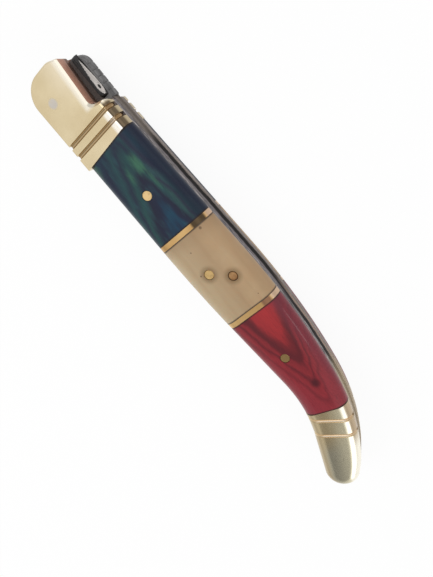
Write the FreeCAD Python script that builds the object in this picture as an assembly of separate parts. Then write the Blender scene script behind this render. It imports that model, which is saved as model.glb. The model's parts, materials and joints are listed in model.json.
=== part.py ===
"""Folding pocket knife with a backspring, brass bolsters and three-colour scales, lying on its right side.

It is drawn closed, with the blade pivot at the origin, +X from the head to the tail, +Y towards the back
and +Z out of the left side, and is then set down with the origin under the middle of its box.
"""

import FreeCAD, Part
import math
import os

Vector = FreeCAD.Vector

# Handle outline seen from the side, in millimetres and degrees from the blade pivot
HEAD_OVERHANG = 6.3
PIVOT_TO_BELLY = 4.0
PIVOT_TO_BACK = 9.4
BACK_RISE_ANGLE = 2.8
HEAD_BROW_Y = 4.6
HEAD_BROW_ROUND = 3.5
HEAD_LEAN = 24.0
HEAD_ROUND = 5.0
BELLY_RISE_X = 50.3
BELLY_RISE_ANGLE = 4.0
BELLY_RISE_ROUND = 340.0
BELLY_HOLLOW_X = 88.6
BELLY_HOLLOW_ROUND = 36.0
TAIL_BELLY_ANGLE = 22.5
BACK_BEND_X = 65.8
BACK_BEND_ANGLE = 8.1
BACK_BEND_ROUND = 180.0
BACK_STRAIGHT = 0.87
TAIL_BEND_ROUND = 62.0
TAIL_BACK_ANGLE = 31.0
TIP_BEND_ROUND = 30.0
TIP_TURN = 10.0
TIP_STRAIGHT = 1.0

# Cut-away of liners and bolsters beside the fly on the spring's head
RELIEF_HEAD_Y = 6.9
RELIEF_CORNER_ROUND = 0.5
RELIEF_FOOT = (5.6, 6.0)
RELIEF_FOOT_ROUND = 1.6
RELIEF_SHOULDER_X = 6.7
RELIEF_SHOULDER_ROUND = 0.9
RELIEF_EDGE_BEVEL = 0.45

# Layers through the thickness
SPRING_THICKNESS = 2.8
BLADE_THICKNESS = 2.4
LINER_THICKNESS = 1.2
COVER_THICKNESS = 3.1
SLIDE_GAP = 0.05

# Where the covers meet, on a line at mid height, and how far their ends lean towards the tail at the back
COVER_MID_Y = 3.0
FRONT_BOLSTER_END_X = 13.7
FRONT_BOLSTER_LEAN = -5.4
FRONT_SPACER_X = 37.3
FRONT_SPACER_LEAN = -1.4
REAR_SPACER_X = 60.55
REAR_SPACER_LEAN = -4.0
SPACER_THICKNESS = 1.2
REAR_BOLSTER_START_X = 91.0
REAR_BOLSTER_LEAN = 10.0

# Rounded edges and turned grooves of the covers
FLAT_TRIM = 0.004
SCALE_ROUND_WIDTH = 3.5
SCALE_ROUND_HEIGHT = 2.8
FRONT_BOLSTER_BACK_WIDTH = 1.8
FRONT_BOLSTER_BACK_HEIGHT = 2.9
FRONT_BOLSTER_EDGE_ROUND = 0.45
FRONT_BOLSTER_RING_ROUND = 0.3
REAR_BOLSTER_ROUND = 2.75
GROOVE_RADIUS = 0.5
FRONT_GROOVES_X = (8.35, 10.9)
FRONT_GROOVE_LEAN = -1.5
REAR_GROOVES_X = (94.0, 99.0)
REAR_GROOVE_LEAN = 26.0

# Pins: places on the side, radii and fits
PIVOT_PIN_RADIUS = 1.15
SCALE_PIN_RADIUS = 1.15
SCALE_PINS = {"front": (26.37, 3.1), "middle": (47.98, 2.37), "rear": (74.03, 3.63)}
SPRING_PIN = (51.24, 6.75)
TAIL_PIN = (104.2, -2.6)
TAIL_PIN_RADIUS = 1.0
PIN_EDGE_CHAMFER = 0.12
PIN_FIT = 0.02
RUNNING_FIT = 0.04
SPRING_PIN_PLAY = 0.35

# Blade and its tang
TANG_RADIUS = 5.0
TANG_FLAT = 4.6
TANG_SPRING_GAP = 0.1
RICASSO_LENGTH = 13.0
RICASSO_TOP_Y = 3.9
HEEL_Y = 5.0
SPINE_SLOPE_START_X = 10.0
SPINE_SLOPE = 0.3
SPINE_DROP_X = 50.0
BLADE_TIP = (95.5, 0.0)
BLADE_TIP_HEIGHT = 0.5
BLADE_TIP_THICKNESS = 0.5
EDGE_THICKNESS = 0.16
EDGE_STRAIGHTNESS = 0.45
FLAT_SHARE = 0.36
BLADE_STATIONS = 9

# Backspring
SPRING_HEAD_X = -4.4
SPRING_FOOT_X = 8.5
SPRING_FOOT_RAMP = 5.0
SPRING_THIN_Y = 6.6
SPRING_BOSS_DEPTH = 2.4
SPRING_BOSS_HALF_LENGTH = 3.3
SPRING_BOSS_RAMP = 7.5
SPRING_BEND_ROUND = 3.0
TAIL_BLOCK_FRONT = (97.8, 1.2)
TAIL_BLOCK_LEAN = 18.0
TAIL_BLOCK_ROUND = 1.5

# Fly on the spring's head
FLY_SEAT_Y = 7.7
FLY_TOP_Y = 10.4
FLY_BODY_END_X = 6.5
FLY_BODY_ROUND = 0.8
FLY_FRONT_ROUND = 2.4
FLY_REAR_ROUND = 0.4
FLY_WING_HALF_WIDTH = 2.7
FLY_WING_BASE_Y = 7.95
FLY_WING_END_X = 5.5
FLY_WING_HEAD_Y = 9.3
FLY_WING_ROOT_Y = 9.75
FLY_WING_EDGE_Y = 8.6
FLY_WING_ROUND = 1.2
FLY_GROOVES = 5
FLY_GROOVE_PITCH = 1.6
FLY_GROOVE_RADIUS = 0.28

# Levels worked out from the layers, a length well past the knife, a tolerance and a right angle
WELL_HALF = SPRING_THICKNESS / 2 + SLIDE_GAP
LINER_TOP = WELL_HALF + LINER_THICKNESS
SIDE_TOP = LINER_TOP + COVER_THICKNESS
SPRING_UNDERSIDE_Y = TANG_RADIUS + TANG_SPRING_GAP
FAR = 200.0
SMALL = 1e-4
QUARTER_TURN = 90.0


def direction(angle):
    """Unit vector at an angle in degrees from +X."""
    return Vector(math.cos(math.radians(angle)), math.sin(math.radians(angle)), 0)


def rounded_face(corners):
    """Flat face inside corners (x, y, radius), each turned by a tangent arc of its radius."""
    points = [Vector(x, y, 0) for x, y, _ in corners]
    turns = []
    for i, (_, _, radius) in enumerate(corners):
        corner = points[i]
        back = (points[i - 1] - corner).normalize()
        ahead = (points[(i + 1) % len(points)] - corner).normalize()
        half = back.getAngle(ahead) / 2
        inset = radius / math.tan(half)
        middle = corner + (back + ahead).normalize() * (radius / math.sin(half) - radius)
        turns.append((corner + back * inset, middle, corner + ahead * inset))
    edges = []
    for i, (start, middle, end) in enumerate(turns):
        previous = turns[i - 1][2]
        if (start - previous).Length > SMALL:
            edges.append(Part.LineSegment(previous, start).toShape())
        if (end - start).Length > SMALL:
            edges.append(Part.Arc(start, middle, end).toShape())
    return Part.Face(Part.Wire(edges))


def head_x(y):
    """Place of the head end at a height above its brow, where it leans back."""
    return math.tan(math.radians(HEAD_LEAN)) * (y - HEAD_BROW_Y) - HEAD_OVERHANG


def back_y(x):
    """Height of the straight part of the back, which rises towards the tail."""
    return math.tan(math.radians(BACK_RISE_ANGLE)) * x + PIVOT_TO_BACK


def bend_inset(radius, turn):
    """Distance from a corner to where its rounding starts, for a turn in degrees."""
    return radius * math.tan(math.radians(turn) / 2)


def tail_corners():
    """Corners of the outline from the hollow of the belly round the tail to the straight back.

    The back turns in three bends. The tip is one arc, which touches the belly and the back where its last
    straight ends.
    """
    belly_rise = math.tan(math.radians(BELLY_RISE_ANGLE)) * (BELLY_HOLLOW_X - BELLY_RISE_X)
    hollow = Vector(BELLY_HOLLOW_X, belly_rise - PIVOT_TO_BELLY, 0)
    back = Vector(BACK_BEND_X, back_y(BACK_BEND_X), 0)
    back_inset = bend_inset(BACK_BEND_ROUND, BACK_RISE_ANGLE + BACK_BEND_ANGLE)
    tail_inset = bend_inset(TAIL_BEND_ROUND, TAIL_BACK_ANGLE - BACK_BEND_ANGLE)
    tip_inset = bend_inset(TIP_BEND_ROUND, TIP_TURN)
    bend = back + direction(-BACK_BEND_ANGLE) * (back_inset + BACK_STRAIGHT + tail_inset)
    tip_bend = bend + direction(-TAIL_BACK_ANGLE) * (tail_inset + tip_inset)
    along_tip = direction(-TAIL_BACK_ANGLE - TIP_TURN)
    along_belly = direction(-TAIL_BELLY_ANGLE)
    tip_start = tip_bend + along_tip * (tip_inset + TIP_STRAIGHT)
    meeting = hollow + along_belly * ((tip_bend - hollow).cross(along_tip).z / along_belly.cross(along_tip).z)
    tip_half = math.radians(TAIL_BACK_ANGLE + TIP_TURN - TAIL_BELLY_ANGLE) / 2
    return [
        (hollow.x, hollow.y, BELLY_HOLLOW_ROUND),
        (meeting.x, meeting.y, (meeting - tip_start).Length * math.tan(tip_half)),
        (tip_bend.x, tip_bend.y, TIP_BEND_ROUND),
        (bend.x, bend.y, TAIL_BEND_ROUND),
        (back.x, back.y, BACK_BEND_ROUND),
    ]


def handle_face(relief, bevel=0.0):
    """Side outline of the handle, with the cut-away beside the fly, or with a square head.

    The bevel widens the cut-away.
    """
    corners = [
        (-HEAD_OVERHANG, -PIVOT_TO_BELLY, HEAD_ROUND),
        (BELLY_RISE_X, -PIVOT_TO_BELLY, BELLY_RISE_ROUND),
    ] + tail_corners()
    if relief:
        shoulder_x = RELIEF_SHOULDER_X + bevel
        head_y = RELIEF_HEAD_Y - bevel
        corners += [
            (shoulder_x, back_y(shoulder_x), RELIEF_SHOULDER_ROUND),
            (RELIEF_FOOT[0] + bevel, RELIEF_FOOT[1] - bevel, RELIEF_FOOT_ROUND),
            (head_x(head_y), head_y, RELIEF_CORNER_ROUND),
        ]
    else:
        end_x = head_x(PIVOT_TO_BACK)
        corners += [(end_x, back_y(end_x), 0.0)]
    return rounded_face(corners + [(-HEAD_OVERHANG, HEAD_BROW_Y, HEAD_BROW_ROUND)])


def prism(face, bottom, top):
    """Solid from a flat face, between two levels of Z."""
    lifted = face.copy()
    lifted.translate(Vector(0, 0, bottom))
    return lifted.extrude(Vector(0, 0, top - bottom))


def cylinder(place, radius, bottom, top):
    """Cylinder along Z at an (x, y) place, between two levels."""
    return Part.makeCylinder(radius, top - bottom, Vector(place[0], place[1], bottom))


def box(low, high):
    """Box between two corners."""
    size = Vector(*high) - Vector(*low)
    return Part.makeBox(size.x, size.y, size.z, Vector(*low))


def slab(start_x, start_lean, end_x, end_lean):
    """Block across the handle between two planes that lean about the mid height."""
    low_start = Vector(start_x, COVER_MID_Y, 0) - direction(QUARTER_TURN - start_lean) * FAR
    high_start = Vector(start_x, COVER_MID_Y, 0) + direction(QUARTER_TURN - start_lean) * FAR
    low_end = Vector(end_x, COVER_MID_Y, 0) - direction(QUARTER_TURN - end_lean) * FAR
    high_end = Vector(end_x, COVER_MID_Y, 0) + direction(QUARTER_TURN - end_lean) * FAR
    outline = Part.makePolygon([low_start, low_end, high_end, high_start, low_start])
    return prism(Part.Face(outline), -FAR, FAR)


def rim_edges(solid, level, ends):
    """Edges at a level of Z that follow the outline, leaving out leaning end planes (x, lean)."""
    found = []
    for edge in solid.Edges:
        middle = edge.valueAt((edge.FirstParameter + edge.LastParameter) / 2)
        offsets = [(middle - Vector(x, COVER_MID_Y, level)).dot(direction(-lean)) for x, lean in ends]
        if edge.BoundBox.ZMin > level - SMALL and all(abs(offset) > SMALL for offset in offsets):
            found.append(edge)
    return found


def with_holes(shape, holes):
    """Shape with through holes, given as (place, radius)."""
    for place, radius in holes:
        shape = shape.cut(cylinder(place, radius, -FAR, FAR))
    return shape


def grooved(cover, places, lean):
    """Cover with a half-round groove run across it at each place."""
    for x in places:
        across = direction(QUARTER_TURN - lean)
        corner = Vector(x, COVER_MID_Y, -FAR) - across * FAR
        plane = Part.makePlane(2 * FAR, 2 * FAR, corner, direction(-lean), across)
        section = cover.common(plane)
        path = Part.Wire(Part.__sortEdges__(
            [edge for edge in section.Edges if edge.BoundBox.ZMax > LINER_TOP + SMALL]))
        first = path.OrderedEdges[0]
        start = path.OrderedVertexes[0].Point
        ring = Part.Circle(start, first.tangentAt(first.FirstParameter), GROOVE_RADIUS)
        sweep = Part.BRepOffsetAPI.MakePipeShell(path)
        sweep.add(Part.Wire(ring.toShape()))
        sweep.build()
        sweep.makeSolid()
        cover = cover.cut(sweep.shape())
    return cover


def make_liner():
    """Steel plate of the left side."""
    holes = [((0, 0), PIVOT_PIN_RADIUS + PIN_FIT), (TAIL_PIN, TAIL_PIN_RADIUS + PIN_FIT)]
    holes += [(place, SCALE_PIN_RADIUS + PIN_FIT) for place in [*SCALE_PINS.values(), SPRING_PIN]]
    return with_holes(prism(handle_face(relief=True), WELL_HALF, LINER_TOP), holes)


def rounded_cover(relief, ends, rounds, height):
    """Cover between two leaning ends (x, lean), its rim rounded over in quarter ellipses.

    Each of the rounds (width, test) takes the edges whose box passes its test. The height is the first one's.
    It is made a trace too thick, and both its flats are then trimmed true.
    """
    stretch = rounds[0][0] / height
    top = (COVER_THICKNESS + FLAT_TRIM) * stretch
    block = prism(handle_face(relief), -FLAT_TRIM * stretch, top).common(slab(*ends[0], *ends[1]))
    for width, test in rounds:
        edges = [edge for edge in rim_edges(block, top, ends) if test(edge.BoundBox)]
        block = block.makeFillet(width, edges)
    squeeze = FreeCAD.Matrix()
    squeeze.scale(1.0, 1.0, 1.0 / stretch)
    block = block.transformGeometry(squeeze)
    block.translate(Vector(0, 0, LINER_TOP))
    return block.common(box((-FAR, -FAR, LINER_TOP), (FAR, FAR, SIDE_TOP)))


def relief_block():
    """All that the cut-away beside the fly leaves of a cover, bevelled along its upper edge."""
    shelf = SIDE_TOP - RELIEF_EDGE_BEVEL
    wires = []
    for level, bevel in [(shelf, 0.0), (SIDE_TOP, RELIEF_EDGE_BEVEL)]:
        wire = handle_face(relief=True, bevel=bevel).OuterWire
        wire.translate(Vector(0, 0, level))
        wires.append(wire)
    return prism(handle_face(relief=True), LINER_TOP, shelf).fuse(Part.makeLoft(wires, True, True))


def make_front_bolster():
    """Left front bolster: steep at the back, eased along the belly, with a ring, cut away beside the fly."""
    ring_start = (FRONT_GROOVES_X[-1], FRONT_GROOVE_LEAN)
    end = (FRONT_BOLSTER_END_X, FRONT_BOLSTER_LEAN)
    parts = []
    for ends, edge_round in [
        ([(-FAR, 0.0), ring_start], FRONT_BOLSTER_EDGE_ROUND),
        ([ring_start, end], FRONT_BOLSTER_RING_ROUND),
    ]:
        rounds = [
            (FRONT_BOLSTER_BACK_WIDTH, lambda bounds: bounds.YMin > RELIEF_HEAD_Y),
            (edge_round, lambda bounds: bounds.YMax < COVER_MID_Y + SMALL),
        ]
        parts.append(rounded_cover(False, ends, rounds, FRONT_BOLSTER_BACK_HEIGHT))
    block = parts[0].fuse(parts[1]).common(relief_block())
    block = grooved(block, FRONT_GROOVES_X, FRONT_GROOVE_LEAN)
    return with_holes(block, [((0, 0), PIVOT_PIN_RADIUS + PIN_FIT)])


def make_rear_bolster():
    """Left rear bolster: hooked tail, rounded over all round."""
    block = prism(handle_face(relief=True), LINER_TOP, SIDE_TOP)
    block = block.common(slab(REAR_BOLSTER_START_X, REAR_BOLSTER_LEAN, 2 * FAR, 0.0))
    rim = rim_edges(block, SIDE_TOP, [(REAR_BOLSTER_START_X, REAR_BOLSTER_LEAN)])
    block = block.makeFillet(REAR_BOLSTER_ROUND, rim)
    block = grooved(block, REAR_GROOVES_X, REAR_GROOVE_LEAN)
    return with_holes(block, [(TAIL_PIN, TAIL_PIN_RADIUS + PIN_FIT)])


def make_scales():
    """The left grip cut into three scales and the two spacers between them."""
    half = SPACER_THICKNESS / 2
    cuts = [
        (-FAR, 0.0),
        (FRONT_SPACER_X - half, FRONT_SPACER_LEAN),
        (FRONT_SPACER_X + half, FRONT_SPACER_LEAN),
        (REAR_SPACER_X - half, REAR_SPACER_LEAN),
        (REAR_SPACER_X + half, REAR_SPACER_LEAN),
        (FAR, 0.0),
    ]
    names = ["front_scale", "front_spacer", "middle_scale", "rear_spacer", "rear_scale"]
    ends = [(FRONT_BOLSTER_END_X, FRONT_BOLSTER_LEAN), (REAR_BOLSTER_START_X, REAR_BOLSTER_LEAN)]
    grip = rounded_cover(True, ends, [(SCALE_ROUND_WIDTH, lambda bounds: True)], SCALE_ROUND_HEIGHT)
    holes = [(place, SCALE_PIN_RADIUS + PIN_FIT) for place in [*SCALE_PINS.values(), SPRING_PIN]]
    pieces = {}
    for name, start, end in zip(names, cuts, cuts[1:]):
        piece = grip.common(slab(*start, *end))
        pieces[name] = with_holes(piece, holes) if name.endswith("scale") else piece
    return pieces


def make_pin(place, radius, bottom, top):
    """Flush pin, its ends on the covers eased by a small chamfer."""
    pin = cylinder(place, radius, bottom, top)
    ends = [edge for edge in pin.Edges
            if edge.BoundBox.ZLength < SMALL and abs(edge.BoundBox.Center.z) > SIDE_TOP - SMALL]
    return pin.makeChamfer(PIN_EDGE_CHAMFER, ends)


def spine_y(x):
    """Spine of the closed blade: straight, then curving in towards the tip."""
    slope = math.tan(math.radians(SPINE_SLOPE))
    straight = slope * max(0.0, x - SPINE_SLOPE_START_X) - TANG_FLAT
    tip_gap = BLADE_TIP[1] - BLADE_TIP_HEIGHT + TANG_FLAT - slope * (BLADE_TIP[0] - SPINE_SLOPE_START_X)
    share = max(0.0, x - SPINE_DROP_X) / (BLADE_TIP[0] - SPINE_DROP_X)
    return straight + tip_gap * share ** 2


def edge_y(x):
    """Cutting edge of the closed blade, from the heel to the tip."""
    share = (x - RICASSO_LENGTH) / (BLADE_TIP[0] - RICASSO_LENGTH)
    fall = EDGE_STRAIGHTNESS * share + (1 - EDGE_STRAIGHTNESS) * share ** 2
    return HEEL_Y + (BLADE_TIP[1] - HEEL_Y) * fall


def blade_section(x):
    """Outline across the blade: parallel flats at the spine, then ground down to the edge."""
    share = (x - RICASSO_LENGTH) / (BLADE_TIP[0] - RICASSO_LENGTH)
    half = (BLADE_THICKNESS + (BLADE_TIP_THICKNESS - BLADE_THICKNESS) * share ** 2) / 2
    spine = spine_y(x)
    edge = edge_y(x)
    grind = spine + (edge - spine) * FLAT_SHARE
    side = [(spine, half), (grind, half), (edge, EDGE_THICKNESS / 2)]
    outline = side + [(y, -z) for y, z in reversed(side)]
    points = [Vector(x, y, z) for y, z in outline]
    return Part.makePolygon(points + points[:1])


def make_blade():
    """Blade folded into the handle, with flats on the tang for the closed and the open position."""
    half = BLADE_THICKNESS / 2
    tang = cylinder((0, 0), TANG_RADIUS, -half, half)
    tang = tang.common(box((-FAR, -TANG_FLAT, -half), (FAR, TANG_FLAT, half)))
    ricasso = box((0, -TANG_FLAT, -half), (RICASSO_LENGTH, RICASSO_TOP_Y, half))
    step = (BLADE_TIP[0] - RICASSO_LENGTH) / (BLADE_STATIONS - 1)
    sections = [blade_section(RICASSO_LENGTH + i * step) for i in range(BLADE_STATIONS)]
    ground = Part.makeLoft(sections, True)
    blade = tang.fuse([ricasso, ground]).removeSplitter()
    return with_holes(blade, [((0, 0), PIVOT_PIN_RADIUS + RUNNING_FIT)])


def well_face():
    """Room for the blade under the spring, open at the belly and the head."""
    boss_y = SPRING_PIN[1] - SPRING_BOSS_DEPTH
    boss_start = SPRING_PIN[0] - SPRING_BOSS_HALF_LENGTH
    boss_end = SPRING_PIN[0] + SPRING_BOSS_HALF_LENGTH
    block_foot = Vector(*TAIL_BLOCK_FRONT, 0) + direction(TAIL_BLOCK_LEAN - QUARTER_TURN) * FAR
    return rounded_face([
        (-FAR, SPRING_UNDERSIDE_Y, 0.0),
        (-FAR, block_foot.y, 0.0),
        (block_foot.x, block_foot.y, 0.0),
        TAIL_BLOCK_FRONT + (TAIL_BLOCK_ROUND,),
        (boss_end + SPRING_BOSS_RAMP, SPRING_THIN_Y, SPRING_BEND_ROUND),
        (boss_end, boss_y, SPRING_BEND_ROUND),
        (boss_start, boss_y, SPRING_BEND_ROUND),
        (boss_start - SPRING_BOSS_RAMP, SPRING_THIN_Y, SPRING_BEND_ROUND),
        (SPRING_FOOT_X + SPRING_FOOT_RAMP, SPRING_THIN_Y, SPRING_BEND_ROUND),
        (SPRING_FOOT_X, SPRING_UNDERSIDE_Y, SPRING_BEND_ROUND),
    ])


def make_backspring():
    """Spring flush with the back of the handle, with a block that fills the tail."""
    half = SPRING_THICKNESS / 2
    spring = prism(handle_face(relief=False), -half, half)
    spring = spring.cut(prism(well_face(), -FAR, FAR))
    spring = spring.cut(box((-FAR, -FAR, -FAR), (SPRING_HEAD_X, FAR, FAR)))
    spring = spring.cut(box((-FAR, FLY_SEAT_Y, -FAR), (FLY_BODY_END_X, FAR, FAR)))
    return with_holes(spring, [
        (SPRING_PIN, SCALE_PIN_RADIUS + SPRING_PIN_PLAY),
        (TAIL_PIN, TAIL_PIN_RADIUS + RUNNING_FIT),
    ])


def make_fly():
    """Ribbed body on the spring's head, with a wing sloping down on each side."""
    half = SPRING_THICKNESS / 2
    body = box((SPRING_HEAD_X, FLY_SEAT_Y, -half), (FLY_BODY_END_X, FLY_TOP_Y, half))
    body = body.makeFillet(FLY_BODY_ROUND, [
        edge for edge in body.Edges
        if edge.BoundBox.YMin > FLY_TOP_Y - SMALL and edge.BoundBox.XLength > edge.BoundBox.ZLength])
    sections = []
    for x, edge_y_here, root_y in [
        (SPRING_HEAD_X, FLY_WING_HEAD_Y, FLY_WING_HEAD_Y),
        (FLY_WING_END_X, FLY_WING_EDGE_Y, FLY_WING_ROOT_Y),
    ]:
        side = [(FLY_WING_BASE_Y, FLY_WING_HALF_WIDTH), (edge_y_here, FLY_WING_HALF_WIDTH), (root_y, half)]
        outline = [Vector(x, y, z) for y, z in side + [(y, -z) for y, z in reversed(side)]]
        sections.append(Part.makePolygon(outline + outline[:1]))
    wings = Part.makeLoft(sections, True, True)
    corners = [edge for edge in wings.Edges
               if edge.BoundBox.XLength + edge.BoundBox.ZLength < SMALL < edge.BoundBox.YLength]
    wings = wings.makeFillet(FLY_WING_ROUND, corners)
    profile = rounded_face([
        (SPRING_HEAD_X, FLY_SEAT_Y, 0.0),
        (FLY_BODY_END_X, FLY_SEAT_Y, 0.0),
        (FLY_BODY_END_X, FLY_TOP_Y, FLY_REAR_ROUND),
        (SPRING_HEAD_X, FLY_TOP_Y, FLY_FRONT_ROUND),
    ])
    fly = body.fuse(wings).common(prism(profile, -FAR, FAR)).removeSplitter()
    for i in range(FLY_GROOVES):
        place = Vector(FLY_BODY_END_X - (i + 1) * FLY_GROOVE_PITCH, FLY_TOP_Y, -half)
        fly = fly.cut(Part.makeCylinder(FLY_GROOVE_RADIUS, 2 * half, place, Vector(0, 0, 1)))
    return fly


def make_side():
    """Every piece of the left side, by name."""
    side = {
        "liner": make_liner(),
        "front_bolster": make_front_bolster(),
        "rear_bolster": make_rear_bolster(),
    }
    side.update(make_scales())
    for name, place in SCALE_PINS.items():
        side[name + "_scale_pin"] = make_pin(place, SCALE_PIN_RADIUS, WELL_HALF, SIDE_TOP)
    return side


def make_knife():
    """Every piece of the knife, by node name."""
    pieces = {}
    for name, shape in make_side().items():
        pieces[name + "_left"] = shape
        pieces[name + "_right"] = shape.mirror(Vector(0, 0, 0), Vector(0, 0, 1))
    pieces["pivot_pin"] = make_pin((0, 0), PIVOT_PIN_RADIUS, -SIDE_TOP, SIDE_TOP)
    pieces["spring_pin"] = make_pin(SPRING_PIN, SCALE_PIN_RADIUS, -SIDE_TOP, SIDE_TOP)
    pieces["tail_pin"] = cylinder(TAIL_PIN, TAIL_PIN_RADIUS, -SIDE_TOP, SIDE_TOP)
    pieces["blade"] = make_blade()
    pieces["backspring"] = make_backspring()
    pieces["fly"] = make_fly()
    return pieces


def main():
    pieces = make_knife()
    whole = Part.makeCompound(list(pieces.values())).optimalBoundingBox(False)
    origin = Vector(whole.Center.x, whole.Center.y, -SIDE_TOP)
    os.makedirs("parts", exist_ok=True)
    for name, shape in pieces.items():
        shape.translate(-origin)
        shape.exportStep("parts/" + name + ".step")
        print(name, shape.isValid(), len(shape.Solids), round(shape.Volume, 2))
    print("blade pivot", [round(value, 4) for value in -origin])
    print("tail pin", [round(value, 4) for value in Vector(*TAIL_PIN, 0) - origin])


main()
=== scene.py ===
"""Looks of the folding pocket knife: camera, studio light, materials, detailed fly and peened pivot pin.

Materials and pieces work in millimetres from the blade pivot: X along the handle to the tail, Y to the back
and Z out of the left side.
"""

import json
import math

import bmesh
import bpy
from mathutils import Matrix, Vector


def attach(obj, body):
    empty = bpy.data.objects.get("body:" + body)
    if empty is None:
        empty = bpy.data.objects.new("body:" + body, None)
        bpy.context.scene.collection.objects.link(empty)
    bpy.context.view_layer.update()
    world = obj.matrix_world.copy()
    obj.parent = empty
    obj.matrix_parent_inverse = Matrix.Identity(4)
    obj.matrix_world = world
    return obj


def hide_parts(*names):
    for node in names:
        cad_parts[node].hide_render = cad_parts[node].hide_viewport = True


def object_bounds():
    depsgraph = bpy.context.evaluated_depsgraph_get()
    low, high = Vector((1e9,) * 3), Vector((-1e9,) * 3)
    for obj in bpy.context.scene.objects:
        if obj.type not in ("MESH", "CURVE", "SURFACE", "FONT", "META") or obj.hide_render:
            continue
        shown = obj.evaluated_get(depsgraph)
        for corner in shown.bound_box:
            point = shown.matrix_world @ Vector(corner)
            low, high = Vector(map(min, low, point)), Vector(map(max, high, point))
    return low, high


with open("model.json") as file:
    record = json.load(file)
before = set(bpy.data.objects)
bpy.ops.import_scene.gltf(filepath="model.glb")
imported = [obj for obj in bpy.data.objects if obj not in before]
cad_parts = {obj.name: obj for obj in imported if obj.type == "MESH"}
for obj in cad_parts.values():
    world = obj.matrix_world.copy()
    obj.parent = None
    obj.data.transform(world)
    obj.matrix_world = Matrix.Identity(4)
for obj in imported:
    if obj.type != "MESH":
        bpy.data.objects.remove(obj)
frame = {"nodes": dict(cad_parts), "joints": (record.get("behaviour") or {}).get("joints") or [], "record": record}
cad_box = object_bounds()
nodes = frame["nodes"]
PIVOT = Vector(next(joint["pos_m"] for joint in frame["joints"] if joint["name"] == "blade_pivot"))
MM = 0.001

# Where the covers meet: place at mid height and lean in degrees
COVER_MID_Y = 3.0
FRONT_BOLSTER_END = (13.7, -5.4)
FRONT_SPACER = (37.3, -1.4)
REAR_SPACER = (60.55, -4.0)
REAR_BOLSTER_START = (91.0, 10.0)
HALF_SPACER = 0.6

# Turned grooves of the bolsters: place at mid height and lean in degrees
FRONT_GROOVES = [(8.35, -1.5), (10.9, -1.5)]
REAR_GROOVES = [(94.0, 26.0), (99.0, 26.0)]

# Where the front bolster's plain face turns into its rings, and how the edge of its relief falls to the tail
RINGS_START = (6.6, 7.4)
RELIEF_FALL = 0.08

# Places of two pins and of the knot in the red wood
MIDDLE_PIN = (47.98, 2.37)
SPRING_PIN = (51.24, 6.75)
RED_KNOT = (83.0, 5.7)

# Small marks in the bone: place and radius
BONE_MARKS = [(38.6, 8.0, 0.5), (41.7, 2.4, 0.25), (47.2, 0.6, 0.3), (57.6, 8.8, 0.2)]

# Green patches in the blue wood: place, half lengths along and across, and strength
GREEN_PATCHES = [
    (20.2, 6.0, 3.2, 1.3, 0.85), (24.5, 6.9, 3.0, 0.6, 0.5),
    (21.2, 2.9, 2.4, 0.9, 0.6), (15.0, -2.6, 3.0, 1.0, 0.5),
]

# Axis of the rear bolster: a point on it and its fall towards the tail
REAR_AXIS = (92.8, 2.5)
REAR_AXIS_FALL = 0.464

# Pivot pin, peened flush into the bolsters
PIVOT_RADIUS = 1.168
PIVOT_HALF = 5.75

# Fly: body and wings
BODY_X = (-4.4, 6.5)
BODY_Y = (7.7, 10.4)
BODY_HALF = 1.4
BODY_FRONT_ROUND = 2.4
BODY_REAR_ROUND = 0.4
BODY_CROWN = 0.6
SEGMENTS_X = (4.9, 3.3, 1.7, 0.1, -1.5)
SEGMENT_HALF = 0.24
SEGMENT_DEPTH = 0.18
WING_X = (-4.3, 5.5)
WING_Z = (1.3, 2.68)
WING_BASE_Y = 7.95
WING_ROOT_Y = (9.2, 9.65)
WING_EDGE_Y = (8.85, 8.2)
WING_ROUND = 1.2
RIM_HEIGHT = 0.1

# Points of the fly's meshes along and across, and the numbers of its materials
BODY_GRID = (110, 25)
WING_GRID = (96, 28)
DARK, BODY, BRIGHT = range(3)

# Floor: half size in metres, gap under the knife in millimetres, and share of plain white that is seen of it
FLOOR_HALF = 3.0
FLOOR_GAP = 0.05
FLOOR_WHITE = 0.92

# Studio: its brightness, and panels, windows and dark sides as direction, half angles in degrees of their
# full and their faded part, and brightness
ROOM_BRIGHTNESS = 0.8
PANELS = [
    ((0.54, -0.46, 0.71), 7, 26, 0.34),
    ((0.35, -0.85, 0.4), 25, 28.5, 0.72),
    ((-0.3, -0.45, 0.84), 14, 40, 0.93),
    ((-0.21, 0.0, 0.98), 14, 21, 1.6),
    ((-0.3, 0.86, 0.41), 8, 22, 1.5),
    ((0.86, 0.1, 0.5), 11, 23, 1.7),
    ((0.41, 0.69, 0.6), 2, 6, 4.5),
]

# Camera at the photograph's place: its place in millimetres from the blade pivot, its axes and its lens
CAMERA_PLACE = (32.81, 50.987, 98.983)
CAMERA_RIGHT = (0.63174, 0.7302, -0.26021)
CAMERA_UP = (-0.75542, 0.50461, -0.41797)
CAMERA_BACK = (-0.1739, 0.46062, 0.8704)
CAMERA_LENS = 29.948


def rgb(red, green, blue):
    """Linear colour from sRGB values of 0 to 255."""
    def linear(value):
        value /= 255
        return value / 12.92 if value <= 0.04045 else ((value + 0.055) / 1.055) ** 2.4
    return (linear(red), linear(green), linear(blue), 1.0)


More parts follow.
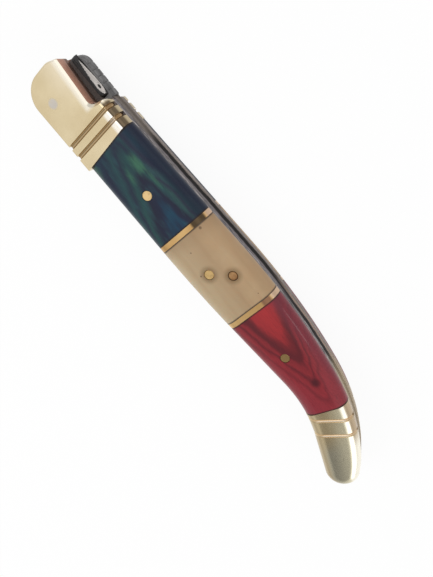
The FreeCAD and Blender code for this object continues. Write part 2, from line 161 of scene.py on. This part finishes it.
class Graph:
    """Short calls that add nodes to a node tree."""

    def __init__(self, tree):
        self.tree = tree

    def feed(self, socket, value):
        if isinstance(value, bpy.types.NodeSocket):
            self.tree.links.new(value, socket)
        else:
            socket.default_value = value

    def add(self, kind, sockets=None, **settings):
        node = self.tree.nodes.new(kind)
        for name, value in settings.items():
            setattr(node, name, value)
        for name, value in (sockets or {}).items():
            self.feed(node.inputs[name], value)
        return node

    def math(self, operation, first, second=0.0, third=0.0):
        return self.add("ShaderNodeMath", {0: first, 1: second, 2: third}, operation=operation).outputs[0]

    def vector(self, operation, first, second):
        node = self.add("ShaderNodeVectorMath", {0: first, 1: second}, operation=operation)
        return node.outputs["Value" if operation in ("DOT_PRODUCT", "DISTANCE") else "Vector"]

    def combine(self, x, y, z):
        return self.add("ShaderNodeCombineXYZ", {"X": x, "Y": y, "Z": z}).outputs[0]

    def ease(self, value, start, end, low=0.0, high=1.0):
        """Smooth step from low at start to high at end."""
        return self.add("ShaderNodeMapRange", {
            "Value": value, "From Min": start, "From Max": end, "To Min": low, "To Max": high,
        }, interpolation_type="SMOOTHSTEP").outputs[0]

    def mix(self, share, first, second):
        node = self.add("ShaderNodeMix", data_type="RGBA")
        for index, value in [(0, share), (6, first), (7, second)]:
            self.feed(node.inputs[index], value)
        return node.outputs[2]

    def ramp(self, value, stops):
        """Colour ramp over stops of (value, colour), in the value's own unit."""
        low, high = stops[0][0], stops[-1][0]
        share = self.math("DIVIDE", self.math("SUBTRACT", value, low), high - low)
        node = self.add("ShaderNodeValToRGB", {"Fac": share})
        elements = node.color_ramp.elements
        while len(elements) < len(stops):
            elements.new(0.5)
        for element, (place, color) in zip(elements, stops):
            element.position = (place - low) / (high - low)
            element.color = color
        return node.outputs[0]

    def noise(self, vector, scale=1.0, detail=3.0, roughness=0.55):
        return self.add("ShaderNodeTexNoise", {
            "Vector": vector, "Scale": scale, "Detail": detail, "Roughness": roughness,
        }).outputs[0]


class Surface(Graph):
    """A material with its place in millimetres from the blade pivot."""

    def __init__(self, name, **constants):
        self.material = bpy.data.materials.new(name)
        self.material.use_nodes = True
        super().__init__(self.material.node_tree)
        self.shader = self.tree.nodes["Principled BSDF"]
        self.set(**constants)
        place = self.vector("SUBTRACT", self.add("ShaderNodeTexCoord").outputs["Object"], PIVOT)
        self.place = self.vector("MULTIPLY", place, (1 / MM, 1 / MM, 1 / MM))
        self.x, self.y, self.z = self.add("ShaderNodeSeparateXYZ", {0: self.place}).outputs

    def stretched(self, along, across, through):
        """Place with its axes scaled, for patterns that run along the handle."""
        return self.vector("MULTIPLY", self.place, (along, across, through))

    def set(self, **values):
        for socket, value in values.items():
            self.feed(self.shader.inputs[socket.replace("_", " ")], value)

    def bump(self, height, depth):
        """Bumps of a depth in millimetres."""
        self.set(Normal=self.add("ShaderNodeBump", {"Height": height, "Distance": depth * MM}).outputs[0])

    def plane_gap(self, x, lean):
        """Distance from a plane across the handle that leans about the mid height."""
        height = self.math("SUBTRACT", self.y, COVER_MID_Y)
        shift = self.math("MULTIPLY", height, math.tan(math.radians(lean)))
        return self.math("ABSOLUTE", self.math("SUBTRACT", self.x, self.math("ADD", shift, x)))

    def spot_gap(self, x, y):
        """Distance from an axis through the handle."""
        return self.vector("DISTANCE", self.combine(self.x, self.y, 0.0), (x, y, 0.0))

    def patch(self, x, y, along, across):
        """Share of a ragged oval patch, given its half lengths."""
        middle = (x / along, y / across, 0.0)
        gap = self.vector("DISTANCE", self.stretched(1 / along, 1 / across, 0.0), middle)
        ragged = self.math("MULTIPLY_ADD", self.noise(self.stretched(0.25, 0.8, 0.8)), 1.6, gap)
        return self.ease(ragged, 1.9, 0.9)

    def backward(self):
        """Share by which the surface faces the back of the knife."""
        normal = self.add("ShaderNodeNewGeometry").outputs["Normal"]
        local = self.add("ShaderNodeVectorTransform", {0: normal}, vector_type="NORMAL",
                         convert_from="WORLD", convert_to="OBJECT").outputs[0]
        return self.vector("DOT_PRODUCT", local, (0.0, 1.0, 0.0))

    def seams(self, color, ends):
        """Darkens the glue lines at the ends of a scale."""
        for x, lean in ends:
            line = self.ease(self.plane_gap(x, lean), 0.5, 0.12, 0.0, 0.85)
            color = self.mix(line, color, rgb(34, 24, 22))
        return color


def hazy_brass(s, light, dark):
    """Brass in soft clouds of two tones."""
    return s.ramp(s.noise(s.place, 0.14, 3.0), [(0.3, dark), (0.65, light)])


def grooved(s, color, grooves, groove_color):
    """Colours the bottoms of turned grooves."""
    for x, lean in grooves:
        color = s.mix(s.ease(s.plane_gap(x, lean), 0.6, 0.2, 0.0, 0.7), color, groove_color)
    return color


def polish(s, roughness):
    """Roughness with fine wiping marks."""
    wiped = s.noise(s.stretched(0.4, 2.0, 2.0), 1.0, 3.0)
    return s.ease(wiped, 0.3, 0.8, roughness, roughness + 0.03)


def front_brass():
    """Brass of the front bolsters, coppery beside the fly, with painted light: a pale painted reflection towards
    the back of the head end, white painted highlights beside the relief, on the relief's bevel and before the
    rings' slope, and painted shade in dark brown on the rings' back slope.
    """
    s = Surface("front_brass")
    slope = s.backward()
    color = hazy_brass(s, rgb(226, 209, 172), rgb(214, 195, 156))
    # Painted reflection: paler towards the back of the head end.
    pale = s.math("MULTIPLY", s.ease(s.y, 0.0, 8.0, 0.0, 0.7), s.ease(s.x, 5.0, -3.0))
    color = s.mix(pale, color, rgb(246, 234, 210))
    rings = s.ease(s.x, *RINGS_START)
    face = s.math("SUBTRACT", 1.0, rings)
    # Painted highlight: near white beside the relief, ahead of the rings.
    painted_relief_highlight = s.ease(s.math("MULTIPLY_ADD", s.x, RELIEF_FALL, s.y), 4.7, 6.0, 0.0, 0.8)
    color = s.mix(s.math("MULTIPLY", painted_relief_highlight, s.ease(s.x, 6.6, 5.5)), color, rgb(252, 246, 232))
    # Painted highlight: pale on the relief's bevel and the plain face's back-facing slopes.
    painted_bevel_highlight = s.math("MULTIPLY", s.ease(slope, 0.2, 0.5, 0.0, 0.9), face)
    color = s.mix(painted_bevel_highlight, color, rgb(222, 214, 198))
    # Painted highlight: white on the rings just before their back slope.
    painted_ring_highlight = s.math("MULTIPLY", s.ease(s.y, 6.7, 7.6, 0.0, 0.9), s.ease(s.x, 8.5, 9.1))
    color = s.mix(s.math("MULTIPLY", painted_ring_highlight, s.ease(slope, 0.5, 0.4)), color, rgb(255, 250, 240))
    # Painted shade: dark brown on the rings' back slope, lighter again where it is steepest.
    painted_shade = s.math("MULTIPLY", rings, s.ease(slope, 0.38, 0.48, 0.0, 0.95))
    color = s.mix(s.math("MULTIPLY", painted_shade, s.ease(slope, 0.99, 0.93, 0.4)), color, rgb(92, 78, 62))
    color = grooved(s, color, FRONT_GROOVES, rgb(160, 129, 90))
    wall = s.math("MULTIPLY", s.ease(slope, 0.75, 0.9), face)
    wall = s.math("MULTIPLY", wall, s.ease(s.y, 8.6, 8.0))
    copper = s.ramp(s.z, [(2.6, rgb(176, 141, 125)), (3.4, rgb(171, 127, 108)), (5.4, rgb(184, 136, 114))])
    s.set(Base_Color=s.mix(wall, color, copper), Metallic=s.math("MULTIPLY_ADD", wall, -0.8, 1.0))
    s.set(Roughness=s.math("MAXIMUM", polish(s, 0.22), s.math("MULTIPLY", wall, 0.55)))
    return s.material


def rear_brass():
    """Brass of the rear bolsters, greyer at the tip, with painted reflections: paler across it towards the back,
    pale towards the belly, tan where it faces the belly and white on the back's gentle slope, and painted shade in
    brown on the back's steep slope.
    """
    s = Surface("rear_brass", Metallic=1.0)
    color = hazy_brass(s, rgb(202, 183, 145), rgb(192, 173, 135))
    color = s.mix(s.ease(s.x, 97.0, 103.0, 0.0, 0.85), color, rgb(178, 174, 155))
    axis_y = s.math("MULTIPLY_ADD", s.math("SUBTRACT", s.x, REAR_AXIS[0]), -REAR_AXIS_FALL, REAR_AXIS[1])
    offset = s.math("MULTIPLY", s.math("SUBTRACT", s.y, axis_y), math.cos(math.atan(REAR_AXIS_FALL)))
    # Painted reflection: paler across the bolster towards the back, and a little paler again towards the belly.
    color = s.mix(s.ease(offset, -1.6, 4.0, 0.0, 0.95), color, rgb(252, 242, 208))
    color = s.mix(s.ease(offset, -1.6, -3.6, 0.0, 0.5), color, rgb(226, 208, 170))
    slope = s.backward()
    # Painted reflections: tan where the surface faces the belly, white on the back's gentle slope.
    color = s.mix(s.ease(slope, -0.15, -0.5, 0.0, 0.7), color, rgb(184, 166, 132))
    color = s.mix(s.ease(slope, 0.12, 0.26, 0.0, 0.75), color, rgb(252, 248, 236))
    # Painted shade: brown on the back's steep slope, short of the tip.
    brown = s.math("MULTIPLY", s.ease(slope, 0.46, 0.62, 0.0, 0.9), s.ease(s.x, 104.0, 99.0))
    color = s.mix(brown, color, rgb(178, 154, 122))
    color = grooved(s, color, REAR_GROOVES, rgb(206, 168, 124))
    s.set(Base_Color=color, Roughness=polish(s, 0.26))
    return s.material


def spacer_brass():
    """Golden brass of the spacers, with painted shade on their back slopes, dark on the front one's and brown on
    the rear one's, and a pale painted reflection at their back edge.
    """
    s = Surface("spacer_brass", Metallic=1.0)
    color = hazy_brass(s, rgb(222, 184, 126), rgb(198, 156, 100))
    rear = s.ease(s.x, 45.0, 55.0)
    # Painted shade on the back slopes: dark on the front spacer and brown on the rear one.
    painted_shade = s.mix(rear, rgb(62, 54, 46), rgb(150, 110, 86))
    start = s.ease(s.math("MULTIPLY_ADD", rear, -1.3, s.y), 6.3, 7.1, 0.0, 0.92)
    color = s.mix(s.math("MULTIPLY", start, s.ease(s.y, 10.6, 10.0)), color, painted_shade)
    # Painted reflection: pale at the back edge.
    color = s.mix(s.ease(s.y, 10.2, 10.9, 0.0, 0.8), color, rgb(196, 170, 150))
    s.set(Base_Color=color, Roughness=polish(s, 0.28))
    return s.material


def steel(name, light, dark, roughness):
    """Brushed steel with grime."""
    s = Surface(name, Metallic=1.0)
    brushed = s.noise(s.stretched(0.25, 4.0, 4.0), 1.0, 4.0, 0.65)
    grime = s.noise(s.stretched(0.3, 0.8, 0.8), 1.0, 4.0)
    color = s.ramp(brushed, [(0.3, dark), (0.7, light)])
    color = s.mix(s.ease(grime, 0.45, 0.7, 0.0, 0.5), color, dark)
    s.set(Base_Color=color, Roughness=s.ease(brushed, 0.25, 0.8, roughness, roughness + 0.15))
    s.bump(brushed, 0.002)
    return s.material


def spring_steel():
    """Dark spring with painted shade: an uneven black line along its back, which changes side towards the tail."""
    s = Surface("spring_steel", Metallic=0.25, Roughness=0.6, Specular_IOR_Level=0.05)
    wobble = s.math("SUBTRACT", s.noise(s.stretched(0.16, 0.0, 0.0), 1.0, 4.0, 0.6), 0.5)
    fine = s.math("SUBTRACT", s.noise(s.stretched(0.9, 2.5, 2.5), 1.0, 4.0, 0.65), 0.5)
    level = s.math("ADD", s.math("MULTIPLY_ADD", wobble, 1.0, s.z), s.math("MULTIPLY", fine, 0.7))
    head = s.ramp(level, [
        (-1.6, rgb(112, 102, 92)), (-0.4, rgb(92, 84, 78)), (0.4, rgb(120, 111, 104)),
        (1.6, rgb(104, 97, 95)),
    ])
    # Painted shade: the near-black stops of the front and rear ramps.
    front = s.ramp(level, [
        (-1.6, rgb(110, 101, 94)), (-1.25, rgb(116, 106, 98)), (-1.0, rgb(16, 13, 12)),
        (0.45, rgb(18, 15, 15)), (0.8, rgb(92, 86, 88)), (1.15, rgb(134, 128, 130)), (1.6, rgb(70, 66, 68)),
    ])
    rear = s.ramp(level, [
        (-1.6, rgb(118, 102, 94)), (-1.0, rgb(160, 139, 127)), (-0.35, rgb(146, 127, 116)),
        (-0.05, rgb(44, 38, 36)), (0.7, rgb(24, 21, 20)), (1.2, rgb(36, 32, 32)), (1.6, rgb(66, 60, 60)),
    ])
    tail = s.ramp(level, [
        (-1.6, rgb(172, 156, 132)), (-0.3, rgb(164, 148, 122)), (0.1, rgb(104, 88, 66)),
        (0.5, rgb(146, 130, 104)), (1.6, rgb(132, 116, 92)),
    ])
    color = s.mix(s.ease(s.x, 14.0, 20.0), head, front)
    color = s.mix(s.ease(s.x, 56.0, 66.0), color, rear)
    s.set(Base_Color=s.mix(s.ease(s.x, 79.0, 87.0), color, tail))
    s.bump(level, 0.03)
    return s.material


def liner_steel():
    """Liners: worn grey edges, brown beside the fly and tan towards the tail."""
    s = Surface("liner_steel", Metallic=0.5, Roughness=0.45, Specular_IOR_Level=0.2)
    worn = s.noise(s.stretched(0.35, 3.0, 3.0), 1.0, 4.0, 0.65)
    color = s.ramp(worn, [(0.35, rgb(46, 43, 44)), (0.5, rgb(104, 98, 100)), (0.65, rgb(174, 166, 164))])
    color = s.mix(s.ease(s.z, 0.5, -0.5, 0.0, 0.6), color, rgb(136, 124, 115))
    color = s.mix(s.ease(s.x, 78.0, 88.0, 0.0, 0.85), color, rgb(174, 156, 128))
    color = s.mix(s.ease(s.x, 8.0, 5.0, 0.0, 0.85), color, rgb(124, 94, 80))
    s.set(Base_Color=color)
    s.bump(worn, 0.006)
    return s.material


def arches(s, apex_x, axis_y, drop, opening, upper, lower):
    """Nested arches of flat-sawn grain, as the distance along the axis from the arch with its apex at apex_x.

    The axis drops towards the tail. Opening is 1 where the arches open towards the tail and -1 towards the
    head, and upper and lower are their slopes on the two sides of the axis.
    """
    wander = s.math("SUBTRACT", s.noise(s.stretched(0.1, 0.3, 0.3), 1.0, 2.0), 0.5)
    along = s.math("SUBTRACT", s.x, apex_x)
    axis = s.math("MULTIPLY_ADD", along, -drop, axis_y)
    across = s.math("MULTIPLY_ADD", wander, 2.4, s.math("SUBTRACT", s.y, axis))
    bow = s.math("SUBTRACT", s.math("SQRT", s.math("MULTIPLY_ADD", across, across, 1.0)), 1.0)
    width = s.math("MULTIPLY", bow, s.ease(across, -1.0, 1.0, lower, upper))
    ripple = s.math("SUBTRACT", s.noise(s.stretched(0.25, 0.7, 0.7), 1.0, 3.0), 0.5)
    reach = s.math("SUBTRACT", s.math("MULTIPLY", along, opening), width)
    return s.math("MULTIPLY_ADD", ripple, 4.5, reach)


def fibres(s, color, pores):
    """Fine darker pores along the grain."""
    grain = s.noise(s.stretched(0.28, 4.0, 4.0), 1.0, 4.0, 0.65)
    s.bump(grain, 0.004)
    return s.mix(s.ease(grain, 0.48, 0.75, 0.0, 0.5), color, pores)


def blue_wood():
    """Dyed and lacquered wood in navy and teal with green patches."""
    s = Surface("blue_wood", Roughness=0.38, Specular_IOR_Level=0.15, Coat_Weight=0.12, Coat_Roughness=0.06)
    color = s.ramp(arches(s, 22.0, 4.6, 0.0, 1.0, 5.75, 3.2), [
        (-40, rgb(40, 56, 70)), (-32, rgb(22, 30, 52)), (-25, rgb(30, 52, 66)), (-18, rgb(30, 36, 55)),
        (-12, rgb(36, 66, 70)), (-8, rgb(34, 42, 58)), (-4, rgb(36, 68, 68)), (-1.5, rgb(36, 58, 64)),
        (1, rgb(31, 33, 50)), (6, rgb(30, 36, 56)), (10, rgb(26, 60, 80)), (16, rgb(26, 46, 70)),
        (20, rgb(24, 64, 82)),
    ])
    patches = s.noise(s.stretched(0.13, 0.45, 0.45), 1.0, 3.0)
    color = s.mix(s.ease(patches, 0.52, 0.72, 0.0, 0.5), color, rgb(40, 74, 80))
    color = s.mix(s.ease(patches, 0.46, 0.3, 0.0, 0.5), color, rgb(28, 32, 52))
    for x, y, along, across, amount in GREEN_PATCHES:
        color = s.mix(s.math("MULTIPLY", s.patch(x, y, along, across), amount), color, rgb(58, 102, 80))
    color = fibres(s, color, rgb(26, 31, 48))
    color = s.mix(s.ease(s.y, 7.8, 9.8, 0.0, 0.75), color, rgb(20, 27, 47))
    s.set(Base_Color=s.seams(color, [FRONT_BOLSTER_END, (FRONT_SPACER[0] - HALF_SPACER, FRONT_SPACER[1])]))
    return s.material


def red_wood():
    """Dyed and lacquered wood in reds, with a dark knot."""
    s = Surface("red_wood", Roughness=0.38, Specular_IOR_Level=0.15, Coat_Weight=0.3, Coat_Roughness=0.05)
    color = s.ramp(arches(s, 78.0, 6.0, 0.067, -1.0, 4.8, 3.2), [
        (-28, rgb(128, 42, 52)), (-13, rgb(132, 41, 49)), (-10.5, rgb(112, 34, 42)), (-8.5, rgb(132, 40, 47)),
        (-6.8, rgb(126, 37, 44)), (-4.5, rgb(96, 29, 37)), (-2.6, rgb(128, 38, 44)), (-0.8, rgb(120, 35, 42)),
        (1.2, rgb(90, 28, 35)), (3.2, rgb(88, 27, 34)), (5.8, rgb(108, 32, 38)), (8.5, rgb(144, 40, 44)),
        (15, rgb(156, 43, 46)),
    ])
    knot = s.ease(s.spot_gap(*RED_KNOT), 1.7, 0.4, 0.0, 0.8)
    color = s.mix(knot, color, rgb(66, 20, 28))
    color = fibres(s, color, rgb(86, 25, 33))
    color = s.mix(s.ease(s.y, 8.6, 10.4, 0.0, 0.7), color, rgb(112, 42, 54))
    s.set(Base_Color=s.seams(color, [(REAR_SPACER[0] + HALF_SPACER, REAR_SPACER[1]), REAR_BOLSTER_START]))
    return s.material


def bone():
    """Polished bone, pale at the belly and dark at its front, with stripes, stained pin holes and marks."""
    s = Surface("bone", Roughness=0.4, Specular_IOR_Level=0.35)
    s.set(Subsurface_Weight=0.1, Subsurface_Scale=1.5 * MM)
    stripes = s.noise(s.stretched(0.06, 0.5, 0.5), 1.0, 3.0, 0.5)
    cloud = s.noise(s.place, 0.13, 3.0)
    # Pale at the belly: partly the bone's own tone, partly painted light on the belly's rounded edge.
    color = s.ramp(s.y, [
        (-4.5, rgb(196, 181, 152)), (-1.0, rgb(173, 152, 121)), (5.0, rgb(163, 137, 105)),
        (8.0, rgb(170, 142, 108)), (11.0, rgb(166, 137, 103)),
    ])
    color = s.mix(s.ease(s.x, 42.0, 37.5, 0.0, 0.45), color, rgb(138, 112, 82))
    color = s.mix(s.ease(stripes, 0.45, 0.75, 0.0, 0.25), color, rgb(144, 114, 82))
    color = s.mix(s.ease(cloud, 0.5, 0.72, 0.0, 0.3), color, rgb(180, 160, 128))
    for place in (MIDDLE_PIN, SPRING_PIN):
        color = s.mix(s.ease(s.spot_gap(*place), 2.6, 1.1, 0.0, 0.65), color, rgb(112, 88, 56))
    for x, y, radius in BONE_MARKS:
        color = s.mix(s.ease(s.spot_gap(x, y), radius, 0.3 * radius, 0.0, 0.75), color, rgb(84, 62, 42))
    front_end = (FRONT_SPACER[0] + HALF_SPACER, FRONT_SPACER[1])
    rear_end = (REAR_SPACER[0] - HALF_SPACER, REAR_SPACER[1])
    s.set(Base_Color=s.seams(color, [front_end, rear_end]))
    s.bump(stripes, 0.006)
    return s.material


def pin_metal(name, stops, rim, roughness, place=None):
    """Pin worn dull, coloured by its place along the handle, with another colour at the rim of one pin."""
    s = Surface(name, Metallic=1.0, Roughness=roughness)
    wear = s.noise(s.place, 1.3, 4.0)
    color = s.mix(s.ease(wear, 0.45, 0.7, 0.0, 0.3), s.ramp(s.x, stops), rim)
    if place:
        color = s.mix(s.ease(s.spot_gap(*place), 0.75, 1.1, 0.0, 0.85), color, rim)
    s.set(Base_Color=color)
    s.bump(wear, 0.006)
    return s.material


def all_materials():
    """Materials by the record's slot names, with some of the scene's own."""
    pin_colors = [(26.0, rgb(232, 200, 144)), (48.0, rgb(214, 180, 122)), (74.0, rgb(158, 132, 88))]
    spring_pin_colors = [(50.0, rgb(186, 146, 102)), (52.5, rgb(168, 124, 84))]
    pivot_colors = [(-1.0, rgb(208, 201, 192)), (1.0, rgb(203, 196, 187))]
    spring_pin_rim = rgb(70, 46, 30)
    return {
        "bolster_brass": front_brass(),
        "rear_brass": rear_brass(),
        "spacer_brass": spacer_brass(),
        "pin_brass": pin_metal("pin_brass", pin_colors, rgb(136, 108, 66), 0.36),
        "spring_pin_brass": pin_metal(
            "spring_pin_brass", spring_pin_colors, spring_pin_rim, 0.36, SPRING_PIN),
        "pivot_steel": pin_metal("pivot_steel", pivot_colors, rgb(216, 202, 172), 0.5, (0.0, 0.0)),
        "liner_steel": liner_steel(),
        "spring_steel": spring_steel(),
        "fly_steel": steel("fly_steel", rgb(74, 73, 73), rgb(44, 43, 43), 0.4),
        "fly_body": steel("fly_body", rgb(136, 135, 135), rgb(78, 77, 77), 0.36),
        "fly_bright": steel("fly_bright", rgb(206, 200, 195), rgb(160, 155, 151), 0.3),
        "blade_steel": steel("blade_steel", rgb(206, 206, 208), rgb(176, 176, 178), 0.24),
        "blue_wood": blue_wood(),
        "red_wood": red_wood(),
        "bone": bone(),
    }


def dress_nodes(materials):
    """Gives each node its material."""
    for part in frame["record"]["subparts"]:
        rear = part["node"].startswith(("rear_bolster", "tail_pin"))
        slots = nodes[part["node"]].data.materials
        slots.clear()
        slots.append(materials["rear_brass" if rear else part["material_slot"]])


def spread(ends, count):
    """Evenly spaced values from one end to the other."""
    return [ends[0] + (ends[1] - ends[0]) * i / (count - 1) for i in range(count)]


def hump(value):
    """Smooth bump that is 1 at 0 and gone past 1."""
    return max(0.0, 1.0 - value * value) ** 2


def corner_drop(gap, radius):
    """How far a rounded corner falls short at a distance from its end."""
    rise = min(radius, max(0.0, radius - gap))
    return radius - math.sqrt(radius * radius - rise * rise)


def body_top(x, z):
    """Height of the fly's body: round at its front, crowned, and cut into segments in two rows."""
    front_drop = corner_drop(x - BODY_X[0], BODY_FRONT_ROUND)
    rear_drop = corner_drop(BODY_X[1] - x, BODY_REAR_ROUND)
    top = BODY_Y[1] - front_drop - rear_drop
    cut = max(hump((x - place) / SEGMENT_HALF) for place in SEGMENTS_X)
    cut = max(cut, hump(z / SEGMENT_HALF))
    return top - BODY_CROWN * (abs(z) / BODY_HALF) ** 2.5 - SEGMENT_DEPTH * cut


def leaf_gap(along, across):
    """Distance from the middle of the leaf on a wing, 1 at its outline."""
    half = 0.12 + 0.38 * along
    return math.hypot((along - 0.55) / 0.41, (across - 0.5) / half)


def ring_gap(along, across):
    """Distance from the middle of the small ring near the rear end of the leaf, 1 at its outline."""
    return math.hypot((along - 0.78) / 0.07, (across - 0.5) / 0.2)


def wing_rim(along, across):
    """Closeness to the raised outline of the leaf or of the ring."""
    return max(hump((leaf_gap(along, across) - 0.9) / 0.2), hump((ring_gap(along, across) - 1.0) / 0.6))


def leaf_bright(along, across):
    """Whether the place is on the bright leaf, outside its ring."""
    return leaf_gap(along, across) < 1.0 and ring_gap(along, across) > 0.7


def wing_top(along, across):
    """Height of a wing, which slopes down to its edge, and more so towards the rear."""
    root = WING_ROOT_Y[0] + (WING_ROOT_Y[1] - WING_ROOT_Y[0]) * along
    edge = WING_EDGE_Y[0] + (WING_EDGE_Y[1] - WING_EDGE_Y[0]) * along
    return root + (edge - root) * across + RIM_HEIGHT * (wing_rim(along, across) - 0.5)


def sheet(rows, base_y, plain, bright=None):
    """Closed piece under a grid of points (x, y, z), down to a flat base.

    Gives its points, its faces and each face's material number: plain, or bright where the bright test takes
    its middle.
    """
    count, width = len(rows), len(rows[0])
    points = [point for row in rows for point in row]
    points += [(x, base_y, z) for x, _, z in points]
    lower = count * width
    faces, marks = [], []
    for i in range(count - 1):
        for j in range(width - 1):
            corner = i * width + j
            top = [corner, corner + 1, corner + width + 1, corner + width]
            faces += [top, [index + lower for index in reversed(top)]]
            middle = ((i + 0.5) / (count - 1), (j + 0.5) / (width - 1))
            marks += [BRIGHT if bright and bright(*middle) else plain, plain]
    rim = list(range(width)) + [i * width + width - 1 for i in range(1, count)]
    rim += [(count - 1) * width + j for j in reversed(range(width - 1))]
    rim += [i * width for i in reversed(range(1, count - 1))]
    for first, second in zip(rim, rim[1:] + rim[:1]):
        faces.append([second, first, first + lower, second + lower])
        marks.append(plain)
    return points, faces, marks


def wing(side):
    """Wing on one side (1 left, -1 right), its outer corners rounded."""
    rows = []
    shares = spread((0, 1), WING_GRID[1])
    for x in spread(WING_X, WING_GRID[0]):
        inset = corner_drop(min(x - WING_X[0], WING_X[1] - x), WING_ROUND)
        along = (x - WING_X[0]) / (WING_X[1] - WING_X[0])
        width = WING_Z[1] - WING_Z[0] - inset
        rows.append([
            (x, wing_top(along, across), side * (WING_Z[0] + width * across)) for across in shares
        ])
    return sheet(rows, WING_BASE_Y, DARK, leaf_bright)


def smooth_outward(mesh):
    """Turns all faces outward and shades them smooth, with sharp corners kept."""
    work = bmesh.new()
    work.from_mesh(mesh)
    bmesh.ops.recalc_face_normals(work, faces=work.faces)
    work.to_mesh(mesh)
    work.free()
    mesh.shade_smooth()
    mesh.set_sharp_from_angle(angle=math.radians(40))


def add_fly(materials):
    """Detailed fly on the spring's head, in place of the plain one."""
    body_z = spread((-BODY_HALF, BODY_HALF), BODY_GRID[1])
    body_rows = [[(x, body_top(x, z), z) for z in body_z] for x in spread(BODY_X, BODY_GRID[0])]
    points, faces, marks = [], [], []
    for piece_points, piece_faces, piece_marks in [sheet(body_rows, BODY_Y[0], BODY), wing(1), wing(-1)]:
        start = len(points)
        points += [PIVOT + Vector(point) * MM for point in piece_points]
        faces += [[index + start for index in face] for face in piece_faces]
        marks += piece_marks
    mesh = bpy.data.meshes.new("fly_detail")
    mesh.from_pydata(points, [], faces)
    for name in ("fly_steel", "fly_body", "fly_bright"):
        mesh.materials.append(materials[name])
    mesh.polygons.foreach_set("material_index", marks)
    smooth_outward(mesh)
    fly = bpy.data.objects.new("fly_detail", mesh)
    bpy.context.scene.collection.objects.link(fly)
    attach(fly, "spring")
    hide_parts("fly")


def add_pivot(materials):
    """Pivot pin with its ends peened flush, in place of the plain one."""
    mesh = bpy.data.meshes.new("pivot_peened")
    work = bmesh.new()
    radius = PIVOT_RADIUS * MM
    bmesh.ops.create_cone(work, cap_ends=True, segments=64, radius1=radius, radius2=radius,
                          depth=2 * PIVOT_HALF * MM, matrix=Matrix.Translation(PIVOT))
    work.to_mesh(mesh)
    work.free()
    mesh.materials.append(materials["pivot_steel"])
    smooth_outward(mesh)
    pin = bpy.data.objects.new("pivot_peened", mesh)
    bpy.context.scene.collection.objects.link(pin)
    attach(pin, "handle")
    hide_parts("pivot_pin")


def add_floor():
    """Large pale floor, white to the camera and in reflections, that keeps a faint shadow."""
    far = FLOOR_HALF
    mesh = bpy.data.meshes.new("floor")
    mesh.from_pydata([(-far, -far, 0), (far, -far, 0), (far, far, 0), (-far, far, 0)], [], [(0, 1, 2, 3)])
    floor = bpy.data.objects.new("floor", mesh)
    bpy.context.scene.collection.objects.link(floor)
    floor.location.z = cad_box[0].z - FLOOR_GAP * MM
    material = bpy.data.materials.new("floor")
    material.use_nodes = True
    g = Graph(material.node_tree)
    g.tree.nodes.remove(g.tree.nodes["Principled BSDF"])
    rays = g.add("ShaderNodeLightPath").outputs
    seen = g.math("MAXIMUM", rays["Is Camera Ray"], rays["Is Glossy Ray"])
    seen = g.math("MAXIMUM", seen, rays["Is Transmission Ray"])
    pale = g.add("ShaderNodeBsdfDiffuse", {"Color": (0.85, 0.85, 0.85, 1.0)}).outputs[0]
    white = g.add("ShaderNodeEmission").outputs[0]
    share = g.math("MULTIPLY", seen, FLOOR_WHITE)
    surface = g.add("ShaderNodeMixShader", {0: share, 1: pale, 2: white}).outputs[0]
    g.feed(g.tree.nodes["Material Output"].inputs["Surface"], surface)
    mesh.materials.append(material)


def add_world():
    """Soft studio: a bright room with panels and windows, and darker sides that the brass mirrors."""
    world = bpy.data.worlds.new("studio")
    bpy.context.scene.world = world
    world.use_nodes = True
    g = Graph(world.node_tree)
    towards = g.add("ShaderNodeTexCoord").outputs["Generated"]
    level = ROOM_BRIGHTNESS
    for direction, inner, outer, brightness in PANELS:
        facing = g.vector("DOT_PRODUCT", towards, Vector(direction).normalized())
        share = g.ease(facing, math.cos(math.radians(outer)), math.cos(math.radians(inner)))
        level = g.math("MULTIPLY_ADD", share, g.math("SUBTRACT", brightness, level), level)
    seen = g.add("ShaderNodeLightPath").outputs["Is Camera Ray"]
    color = g.mix(seen, g.combine(level, level, level), (1.0, 1.0, 1.0, 1.0))
    g.feed(g.tree.nodes["Background"].inputs["Color"], color)


def add_key():
    """Large soft lamp on the belly's side, left out of reflections."""
    lamp = bpy.data.lights.new("key", "AREA")
    lamp.size = 0.5
    lamp.energy = 1.2
    key = bpy.data.objects.new("key", lamp)
    bpy.context.scene.collection.objects.link(key)
    key.location = (-0.25, -0.4, 0.55)
    key.rotation_euler = (-key.location).to_track_quat("-Z", "Y").to_euler()
    key.visible_glossy = False


def add_camera():
    """Camera at the photograph's place, close above the back of the knife."""
    camera = bpy.data.objects.new("camera", bpy.data.cameras.new("camera"))
    bpy.context.scene.collection.objects.link(camera)
    camera.data.lens = CAMERA_LENS
    camera.data.sensor_width = 36.0
    camera.data.clip_start = 5 * MM
    pose = Matrix((CAMERA_RIGHT, CAMERA_UP, CAMERA_BACK)).transposed().to_4x4()
    pose.translation = PIVOT + Vector(CAMERA_PLACE) * MM
    camera.matrix_world = pose
    bpy.context.scene.camera = camera


materials = all_materials()
dress_nodes(materials)
add_fly(materials)
add_pivot(materials)
add_floor()
add_world()
add_key()
add_camera()
bpy.context.scene.view_settings.view_transform = "Standard"
